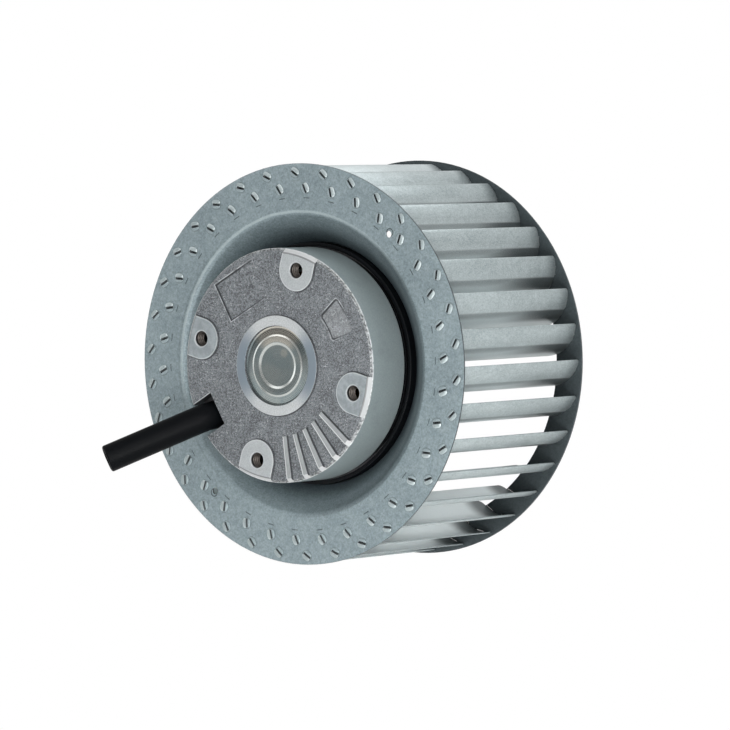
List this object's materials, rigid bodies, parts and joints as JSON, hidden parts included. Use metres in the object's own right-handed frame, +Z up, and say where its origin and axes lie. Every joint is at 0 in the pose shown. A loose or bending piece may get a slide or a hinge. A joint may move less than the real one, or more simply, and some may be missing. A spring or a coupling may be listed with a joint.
{
  "type": "centrifugal fan wheel with external rotor motor",
  "caption": "Forward-curved centrifugal fan wheel of folded sheet steel, carried on the cup of an external rotor motor that bolts on by its cast front flange.",
  "frame": {"origin": "Centre of the bolt circle, in the plane of the four mounting pads of the motor flange, on the spin axis.", "axes": "Y is the spin axis. The pads face -Y and the wheel reaches back to +Y, where air enters. Z is up and X is to the right as seen from the flange side, as the picture shows the fan."},
  "size_m": [0.1812, 0.1442, 0.1812],
  "materials": {
    "cast_flange": "rough die casting with machined pads",
    "plated_cap": "bright zinc plate",
    "black_sleeve": "soft black sleeving",
    "black_cable": "black cable sheath",
    "black_plastic": "moulded",
    "lead_insulation": "wire insulation",
    "lamination_steel": "stacked electrical sheet",
    "copper_winding": "enamelled copper wire",
    "white_plastic": "moulded",
    "bearing_steel": "ground",
    "spring_steel": "hardened strip",
    "galvanised_disc": "galvanised sheet, fine grain",
    "galvanised_blade": "galvanised sheet, fine grain",
    "black_cup": "black coating",
    "turned_steel": "turned and ground",
    "cast_cage": "die cast",
    "ball_steel": "polished balls, pressed cage"
  },
  "bodies": {
    "motor_stator": {"stator_flange": "cast_flange", "bearing_cap": "plated_cap", "cable_sleeve": "black_sleeve", "supply_cable": "black_cable", "cable_clamp": "black_plastic", "motor_leads": "lead_insulation", "stator_core": "lamination_steel", "stator_windings": "copper_winding", "front_insulator": "white_plastic", "rear_insulator": "white_plastic", "thermal_cutout": "black_plastic", "front_bearing_outer_ring": "bearing_steel", "rear_bearing_outer_ring": "bearing_steel", "preload_spring": "spring_steel"},
    "fan_wheel": {"backplate": "galvanised_disc", "inlet_ring": "galvanised_disc", "rotor_shell": "black_cup", "rotor_hub": "turned_steel", "motor_shaft": "turned_steel", "shaft_clip": "spring_steel", "rotor_core": "lamination_steel", "rotor_cage": "cast_cage", "front_bearing_inner_ring": "bearing_steel", "rear_bearing_inner_ring": "bearing_steel", "blade_01": "galvanised_blade", "blade_02": "galvanised_blade", "blade_03": "galvanised_blade", "blade_04": "galvanised_blade", "blade_05": "galvanised_blade", "blade_06": "galvanised_blade", "blade_07": "galvanised_blade", "blade_08": "galvanised_blade", "blade_09": "galvanised_blade", "blade_10": "galvanised_blade", "blade_11": "galvanised_blade", "blade_12": "galvanised_blade", "blade_13": "galvanised_blade", "blade_14": "galvanised_blade", "blade_15": "galvanised_blade", "blade_16": "galvanised_blade", "blade_17": "galvanised_blade", "blade_18": "galvanised_blade", "blade_19": "galvanised_blade", "blade_20": "galvanised_blade", "blade_21": "galvanised_blade", "blade_22": "galvanised_blade", "blade_23": "galvanised_blade", "blade_24": "galvanised_blade", "blade_25": "galvanised_blade", "blade_26": "galvanised_blade", "blade_27": "galvanised_blade", "blade_28": "galvanised_blade", "blade_29": "galvanised_blade", "blade_30": "galvanised_blade", "blade_31": "galvanised_blade", "blade_32": "galvanised_blade", "blade_33": "galvanised_blade", "blade_34": "galvanised_blade"},
    "front_balls": {"front_ball_set": "ball_steel"},
    "rear_balls": {"rear_ball_set": "ball_steel"}
  },
  "joints": [
    {"name": "wheel_spin", "type": "hinge", "parent": "motor_stator", "child": "fan_wheel", "pos_m": [0, 0, 0], "axis": [0, -1, 0], "continuous": true},
    {"name": "front_ball_spin", "type": "hinge", "parent": "motor_stator", "child": "front_balls", "pos_m": [0, 0.011, 0], "axis": [0, -1, 0], "continuous": true},
    {"name": "rear_ball_spin", "type": "hinge", "parent": "motor_stator", "child": "rear_balls", "pos_m": [0, 0.053, 0], "axis": [0, -1, 0], "continuous": true}
  ],
  "couplings": [
    {"joint": "front_ball_spin", "follows": "wheel_spin", "ratio": 0.4136},
    {"joint": "rear_ball_spin", "follows": "wheel_spin", "ratio": 0.4136}
  ]
}
